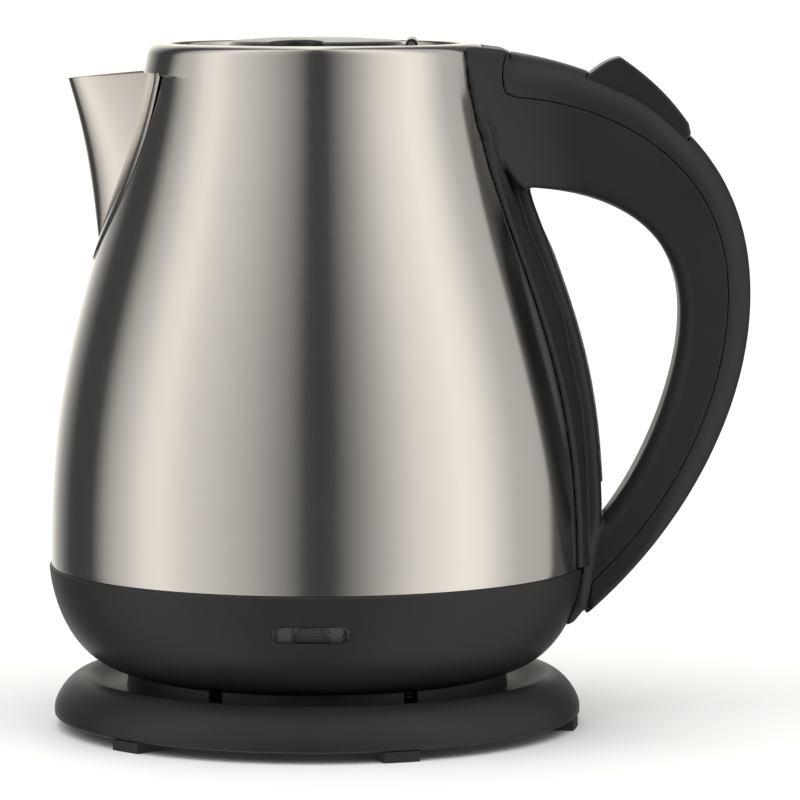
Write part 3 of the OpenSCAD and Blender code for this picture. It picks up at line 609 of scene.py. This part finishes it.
# the flank is at least this thick over the jug
FLANK_T = 0.9
OUTSIDE = np.vstack([[[30, 218.5], [51, 218.2], [58.8, 217.3], [60.4, 216.65]], curve(OUT_TOP, start=0.04),
                     curve(OUT_LOW)[1:], [[86, 20], [30, 20]]])
INSIDE = np.vstack([
    [[30, 192], [53, 192], [58.6, 182.5], [63.4, 175.6], [66.2, 172.9], [67.2, 173.2], [68.8, 173.6]],
    curve(IN_TOP), curve(IN_LOW)[1:],
    [[88, 70], [80, 60], [84, 42], [86.7, 36], [86, 20], [30, 20]]])
CORE_OUTLINE = np.vstack([
    [[40, 200], [62, 200], [66, 182], [68.2, 172.6], [69.4, 168.3]], curve(SPINE),
    rounded([[91.2, 66], [89.2, 58], [88, 51], [86.8, 38.6], [85.3, 37.4], [82.2, 33.5], [78.6, 32.6]], 2),
    [[70, 32.6], [70, 60]]])
COVER_SIDE = np.vstack([
    [[60.5, 230]], curve(SEAM_FRONT, n=12), curve(SEAM_TOP), curve(SEAM_LOW)[1:],
    [[86.9, 36.9], [85.5, 30], [160, 30], [160, 230]]])
# where the two flanks beside the core start, seen from -Y
RIDGE = np.array([[51, 200], [54.5, 193], [57.2, 186.3], [61.6, 174.7], [66.4, 162], [71, 152], [79, 133],
                  [85.4, 104], [87, 88], [87.6, 70], [88, 51]])

# the rocker in its well in the cover, and the gauge window in its slot in the spine
ROCKER_PIVOT = (103.4, 197.4)
ROCKER_FRONT_R, ROCKER_BACK_R = 20.4, 17.4
ROCKER_A, ROCKER_B = 0.24, 0.66
ROCKER_SKIRT, ROCKER_GAP = 3, 0.35
WELL_DEPTH = 5.8
HUB_R = 2.9
WELL_OUTLINE = np.vstack([curve(OUT_TOP, -12, ROCKER_A, ROCKER_B),
                          curve(OUT_TOP, WELL_DEPTH, ROCKER_A, ROCKER_B)[::-1]])
ROCKER_OUTLINE = np.vstack([curve(ROCKER_FRONT, n=14), curve(ROCKER_TOP, n=30)[1:], [[119.3, 190.5]],
                            curve(OUT_TOP, ROCKER_SKIRT, ROCKER_A, ROCKER_B, 20)[::-1]])
WINDOW_START, WINDOW_END, WINDOW_T = 0.006, 0.936, 2.2
SLOT_DEPTH, SLOT_END = 3.0, 0.94
WINDOW_SLOT = np.vstack([curve(SPINE, -SLOT_DEPTH, 0.0, SLOT_END),
                         curve(SPINE, SLOT_DEPTH, 0.0, SLOT_END)[::-1]])
WINDOW_FACE = curve(SPINE, 0, WINDOW_START, WINDOW_END)
# the window stands proud of the spine, but for its upper end
PROUD = curve(SPINE, -0.6, WINDOW_START, WINDOW_END) - WINDOW_FACE
PROUD *= smooth_step(np.linspace(0, 9, len(PROUD)))[:, None]
WINDOW_OUTLINE = np.vstack([WINDOW_FACE + PROUD, curve(SPINE, WINDOW_T, WINDOW_START, WINDOW_END)[::-1]])
HANDLE_LOW, HANDLE_HIGH = (41.0, -30.0, 29.0), (141.0, 30.0, 219.5)
HANDLE_STEP = 0.6


def flange_half(z):
    """Half the width of the flange along the jug."""
    return 19.2 + 9 * smooth_step((z - 52) / 115) - 3.4 * smooth_step((z - 178) / 28)


def flange_x(z):
    """Where the flange's edge lies on the jug."""
    return np.sqrt(np.maximum(jug_radius(z) ** 2 - flange_half(z) ** 2, 0))


def handle_half(x, z):
    """Half the handle's width: the head flares to the flange's edge, and the arm narrows to the foot."""
    start = flange_x(z) + 1
    flare = (1 - np.clip((x - start) / (86 - start), 0, 1)) ** 2 * smooth_step((z - 120) / 30)
    return GRIP_HALF + (flange_half(z) - GRIP_HALF) * flare - 2.2 * smooth_step((88 - z) / 34)


def inside_jug(x, y, z):
    """Negative inside the steel jug or the bowl."""
    r = np.hypot(x, y)
    return np.where(z > SEAM_Z, r - jug_radius(z), r - bowl_radius(z))


def grip_field(x, y, z):
    """The head and the arm, with a slightly crowned back; the edges are crisp by the jug and the foot."""
    side = np.abs(y) - handle_half(x, z)
    back_edge = 1.8 + 6.7 * smooth_step((x - 59) / 5) * smooth_step((z - 50) / 45)
    # less rounding over the rocker's pin, so that its ends stay covered
    over_pin = np.exp(-((x - ROCKER_PIVOT[0] - 1) / 7) ** 2) * smooth_step((z - 180) / 15)
    back_edge = back_edge - 1.3 * over_pin
    finger_edge = 2.0 + 3.6 * smooth_step((x - 68) / 22)
    back = outline_distance(x, z, OUTSIDE) + CROWN * (y / 20) ** 2 * smooth_step((x - 60) / 4)
    return np.maximum(both(back, side, back_edge), both(-outline_distance(x, z, INSIDE), side, finger_edge))


def spine_field(x, y, z):
    """The back of the handle along the jug: a rounded core between two sloping flanks."""
    core = both(outline_distance(x, z, CORE_OUTLINE), np.abs(y) - SPINE_HALF, 3.0)
    half, jug_face = flange_half(z), flange_x(z) + 1.6
    ridge_x, ridge_y = along(RIDGE, z), SPINE_HALF + 1 + 12 * smooth_step((z - 140) / 50)
    slope = (ridge_x - jug_face) / (half - ridge_y)
    sloping = (x - ridge_x + slope * (np.abs(y) - ridge_y)) / np.sqrt(1 + slope ** 2)
    flank = both(sloping, x - ridge_x, 3.5 - 2.6 * smooth_step((z - 118) / 30))
    flank = both(joined(flank, inside_jug(x, y, z) - FLANK_T, 0.6), np.abs(y) - half, 1.0)
    flank = both(both(flank, SEAM_Z + 0.4 - z, 0.5), z - 214.5, 2.0)
    return joined(core, flank, 0.8)


def frame_field(x, y, z):
    fillet = 1.2 + 3 * smooth_step((z - 186) / 8) * smooth_step((212 - z) / 8)
    whole = joined(grip_field(x, y, z), spine_field(x, y, z), fillet)
    # a tongue inside the cover closes the seam
    tongue = TONGUE * smooth_step((handle_half(x, z) - 2 - np.abs(y)) / 0.6)
    whole = both(whole, SEAM_GAP - tongue - outline_distance(x, z, COVER_SIDE), 0.3)
    window = np.maximum(outline_distance(x, z, WINDOW_SLOT), np.abs(y) - WINDOW_HALF - 0.15)
    return np.maximum(np.maximum(whole, 0.04 - inside_jug(x, y, z)), -window)


def rod(x, z, radius):
    return np.hypot(x - ROCKER_PIVOT[0], z - ROCKER_PIVOT[1]) - radius


def cover_field(x, y, z):
    slot = TONGUE_SLOT * smooth_step((handle_half(x, z) - 1.7 - np.abs(y)) / 0.5)
    cover = both(grip_field(x, y, z), outline_distance(x, z, COVER_SIDE) + SEAM_GAP + slot, 0.3)
    side = np.abs(y) - ROCKER_HALF - ROCKER_GAP
    well = np.maximum(outline_distance(x, z, WELL_OUTLINE), rocker_swing(x, z, ROCKER_GAP))
    well = np.maximum(well, side)
    return np.maximum(np.maximum(cover, -well), -np.maximum(rod(x, z, HUB_R + 0.5), side))


def rocker_swing(x, z, more):
    """What the rocker sweeps when it turns on its pin, grown by more."""
    reach = np.where(x < ROCKER_PIVOT[0] - 1, ROCKER_FRONT_R, ROCKER_BACK_R)
    return rod(x, z, reach + more)


def rocker_field(x, y, z):
    side = np.abs(y) - ROCKER_HALF
    cap = both(np.maximum(outline_distance(x, z, ROCKER_OUTLINE), rocker_swing(x, z, 0)), side, 0.9)
    return np.minimum(cap, np.maximum(rod(x, z, HUB_R), side))


def window_field(x, y, z):
    return both(outline_distance(x, z, WINDOW_OUTLINE), np.abs(y) - WINDOW_HALF, 0.8)


finish_piece(solid("handle_frame_shape", frame_field, HANDLE_LOW, HANDLE_HIGH, HANDLE_STEP), "jug",
             "black_plastic", "handle_frame")
finish_piece(solid("handle_cover_shape", cover_field, (55, -25, 34), HANDLE_HIGH, HANDLE_STEP), "jug",
             "black_plastic", "handle_cover")
finish_piece(solid("rocker_shape", rocker_field, (84, -12, 188), (122, 12, 218), 0.35), "rocker",
             "dark_plastic", "rocker")
finish_piece(solid("gauge_window_shape", window_field, (68, -10, 72), (95, 10, 166), 0.5), "jug",
             "clear_plastic", "gauge_window")


# ---- lid --------------------------------------------------------------------------------------------
LID_UNDER, LID_TOP = RIM_Z - 4, RIM_Z - 1.4
HINGE = (30.5, RIM_Z - 0.3)
BARREL_R, KNUCKLE_HALF, LUG_HALF = 1.9, 12.0, 16.4
LID_SKIRT_R, LID_SKIRT_HALF_T, LID_SKIRT_Z = 36.5, 1.05, 207.6
POCKET_AT, POCKET_R = (-6, 27), 9
LID_OUTLINE = np.vstack([[[-5, LID_UNDER], [LID_R, LID_UNDER]],
                         rounded([[LID_R, LID_UNDER + 0.1], [LID_R, LID_TOP], [28.6, LID_TOP + 0.5],
                                  [26.6, GRIP_Z - 1.2], [14, GRIP_Z - 0.35], [6, GRIP_Z - 0.3]], 1.8, 8),
                         [[-5, GRIP_Z - 0.3]]])


def lid_field(x, y, z):
    r = np.hypot(x, y)
    top = outline_distance(r, z, LID_OUTLINE)
    lugs = np.maximum(np.hypot(x - HINGE[0], z - HINGE[1]) - BARREL_R - 0.3, np.abs(y) - LUG_HALF - 0.4)
    top = np.maximum(both(top, x - HINGE[0] + 0.2, 0.4), -lugs)
    pocket = np.maximum(np.hypot(x - POCKET_AT[0], np.abs(y) - POCKET_AT[1]) - POCKET_R, LID_TOP + 0.6 - z)
    top = both(top, -pocket, 1.0)
    skirt = np.maximum(np.abs(r - LID_SKIRT_R + LID_SKIRT_HALF_T) - LID_SKIRT_HALF_T,
                       np.maximum(LID_SKIRT_Z - z, z - LID_UNDER - 0.3))
    skirt = np.maximum(skirt, x - HINGE[0] + 3)
    knuckle = np.maximum(np.hypot(x - HINGE[0], z - HINGE[1]) - BARREL_R, np.abs(y) - KNUCKLE_HALF)
    web = np.maximum(np.maximum(np.abs(x - HINGE[0] + 1.6) - 1.4, np.abs(y) - KNUCKLE_HALF),
                     np.maximum(LID_UNDER - z, z - HINGE[1]))
    return np.minimum(np.minimum(top, skirt), np.minimum(knuckle, web))


LID_STEP = 0.5
finish_piece(solid("lid_shape", lid_field, (-48, -48, 206), (34, 48, 223), LID_STEP), "lid",
             "dark_plastic", "lid_cover", LID_BLACK)


# ---- power base ---------------------------------------------------------------------------------------
PLATEAU_Z, RING_Z, DOME_T, DOME_LOW = 15.0, 18.1, 2.2, 3.6
TOWER_HOLE = 11.2
INLET_Z, INLET_HOLE = 7, 5.9
# the ring round the plateau has six notches; angles in degrees
RING_IN, RING_OUT = 57.2, 60.9
NOTCH_AT, NOTCH_HALF = range(0, 360, 60), 2.5


def base():
    profile = np.vstack([
        arc((BASE_R - 0.8, DOME_LOW + 0.8), 0.8, -90, -10, 4), curve(DOME, n=40), curve(DISH, n=30)[1:],
        rounded([[61.4, 12.75], [RING_OUT, RING_Z], [RING_IN, RING_Z], [56.8, PLATEAU_Z], [30, PLATEAU_Z]],
                0.5),
        [[TOWER_HOLE, PLATEAU_Z], [TOWER_HOLE, PLATEAU_Z - DOME_T], [55, PLATEAU_Z - DOME_T], [58, 10.4]],
        curve(DISH, -DOME_T, n=20)[::-1], curve(DOME, -DOME_T, n=20)[::-1], [[BASE_R - 2.6, DOME_LOW]]])
    obj = lathe("base_shape", profile)
    block = [[55, -NOTCH_HALF], [63, -NOTCH_HALF], [63, NOTCH_HALF], [55, NOTCH_HALF]]
    cutters = []
    for angle in NOTCH_AT:
        c, s = math.cos(math.radians(angle)), math.sin(math.radians(angle))
        cutters.append(prism("notch", block, RING_Z - 4, RING_Z + 4,
                             lambda a, b, depth: (a * c - b * s, a * s + b * c, depth)))
    mouth = arc((0, INLET_Z), INLET_HOLE, 0, 360, 40)[:-1]
    cutters.append(prism("mouth", mouth, 75, 95, lambda a, b, depth: (a, depth, b)))
    return cut(obj, cutters)


finish_piece(base(), "base", "black_plastic", "base_cover")


# ---- studio -------------------------------------------------------------------------------------------
OVERHEAD_STRENGTH, OVERHEAD_SPREAD = 2.5, 100


def floor():
    mesh = bpy.data.meshes.new("floor")
    reach = 30.0
    mesh.from_pydata([(-reach, -reach, 0), (reach, -reach, 0), (reach, reach, 0), (-reach, reach, 0)], [],
                     [(0, 1, 2, 3)])
    obj = bpy.data.objects.new("floor", mesh)
    bpy.context.scene.collection.objects.link(obj)
    look = Look("floor_paint", (0.93, 0.93, 0.93), 0.7)
    look.bump(look.noise(400.0), 0.02, 0.0005)
    dress(obj, look.material)
    obj.visible_glossy = False


def studio_sky():
    """Soft panels all round: brightness by direction, darker towards the camera and beside it."""
    world = bpy.data.worlds.new("studio")
    bpy.context.scene.world = world
    world.use_nodes = True
    tree = world.node_tree
    new, link = tree.nodes.new, tree.links.new
    background = tree.nodes["Background"]
    parts = new("ShaderNodeSeparateXYZ")
    link(new("ShaderNodeTexCoord").outputs["Generated"], parts.inputs[0])
    back = new("ShaderNodeMath")
    back.operation = "MULTIPLY"
    link(parts.outputs[1], back.inputs[0])
    back.inputs[1].default_value = -1
    angle = new("ShaderNodeMath")
    angle.operation = "ARCTAN2"
    link(parts.outputs[0], angle.inputs[0])
    link(back.outputs[0], angle.inputs[1])
    turn = new("ShaderNodeMath")
    turn.operation = "MULTIPLY_ADD"
    link(angle.outputs[0], turn.inputs[0])
    turn.inputs[1].default_value = 1 / (2 * math.pi)
    turn.inputs[2].default_value = 0.5
    bands = new("ShaderNodeValToRGB")
    ramp = bands.color_ramp
    ramp.interpolation = "LINEAR"
    link(turn.outputs[0], bands.inputs[0])
    # direction in degrees from the front, positive to the right, and brightness
    panels = [(-180, 1.25), (-170, 1.1), (-160, 0.82), (-150, 0.42), (-140, 0.17), (-133, 0.06),
              (-112, 0.06), (-106, 0.26), (-100, 0.48), (-90, 0.68), (-79, 0.97), (-69, 1.03), (-58, 0.84),
              (-30, 0.53), (-12, 0.27), (-3, 0.06), (8, 0.06), (15, 0.2), (22, 0.34), (45, 0.86),
              (66, 1.12), (76, 1.07), (88, 0.77), (98, 0.58), (121, 0.52), (125, 0.08), (150, 0.1),
              (165, 0.4), (180, 1.25)]
    while len(ramp.elements) < len(panels):
        ramp.elements.new(0.5)
    brightest = max(value for _, value in panels)
    for element, (degrees, value) in zip(ramp.elements, panels):
        element.position = degrees / 360 + 0.5
        level = value / brightest
        element.color = (level, level * (1 - 0.03 * level), level * (1 - 0.1 * level), 1)
    link(bands.outputs[0], background.inputs["Color"])
    background.inputs["Strength"].default_value = brightest
    white = new("ShaderNodeBackground")
    white.inputs["Color"].default_value = (1, 1, 1, 1)
    white.inputs["Strength"].default_value = 1.0
    choose = new("ShaderNodeMixShader")
    link(new("ShaderNodeLightPath").outputs["Is Camera Ray"], choose.inputs[0])
    link(background.outputs[0], choose.inputs[1])
    link(white.outputs[0], choose.inputs[2])
    link(choose.outputs[0], tree.nodes["World Output"].inputs["Surface"])


def overhead():
    """A wide soft light from above, which falls evenly on the whole floor."""
    data = bpy.data.lights.new("overhead", "SUN")
    data.energy = OVERHEAD_STRENGTH
    data.angle = math.radians(OVERHEAD_SPREAD)
    obj = bpy.data.objects.new("overhead", data)
    bpy.context.scene.collection.objects.link(obj)
    obj.rotation_euler = (math.radians(20), math.radians(-8), 0)
    obj.visible_glossy = False


# places in metres, angles in degrees, lens and sensor in millimetres
CAMERA_DISTANCE, CAMERA_HEIGHT = 1.6, 0.2583
CAMERA_AZIMUTH, CAMERA_YAW, CAMERA_PITCH = 1.4, 0.957, 5.495
LENS, SENSOR = 225.0, 36.0


def camera():
    data = bpy.data.cameras.new("camera")
    data.lens, data.sensor_width = LENS, SENSOR
    obj = bpy.data.objects.new("camera", data)
    bpy.context.scene.collection.objects.link(obj)
    azimuth = math.radians(CAMERA_AZIMUTH)
    obj.location = (CAMERA_DISTANCE * math.sin(azimuth), -CAMERA_DISTANCE * math.cos(azimuth),
                    CAMERA_HEIGHT)
    obj.rotation_euler = (math.radians(90 - CAMERA_PITCH), 0, math.radians(CAMERA_AZIMUTH - CAMERA_YAW))
    bpy.context.scene.camera = obj


floor()
studio_sky()
overhead()
camera()
bpy.context.scene.view_settings.view_transform = "Standard"
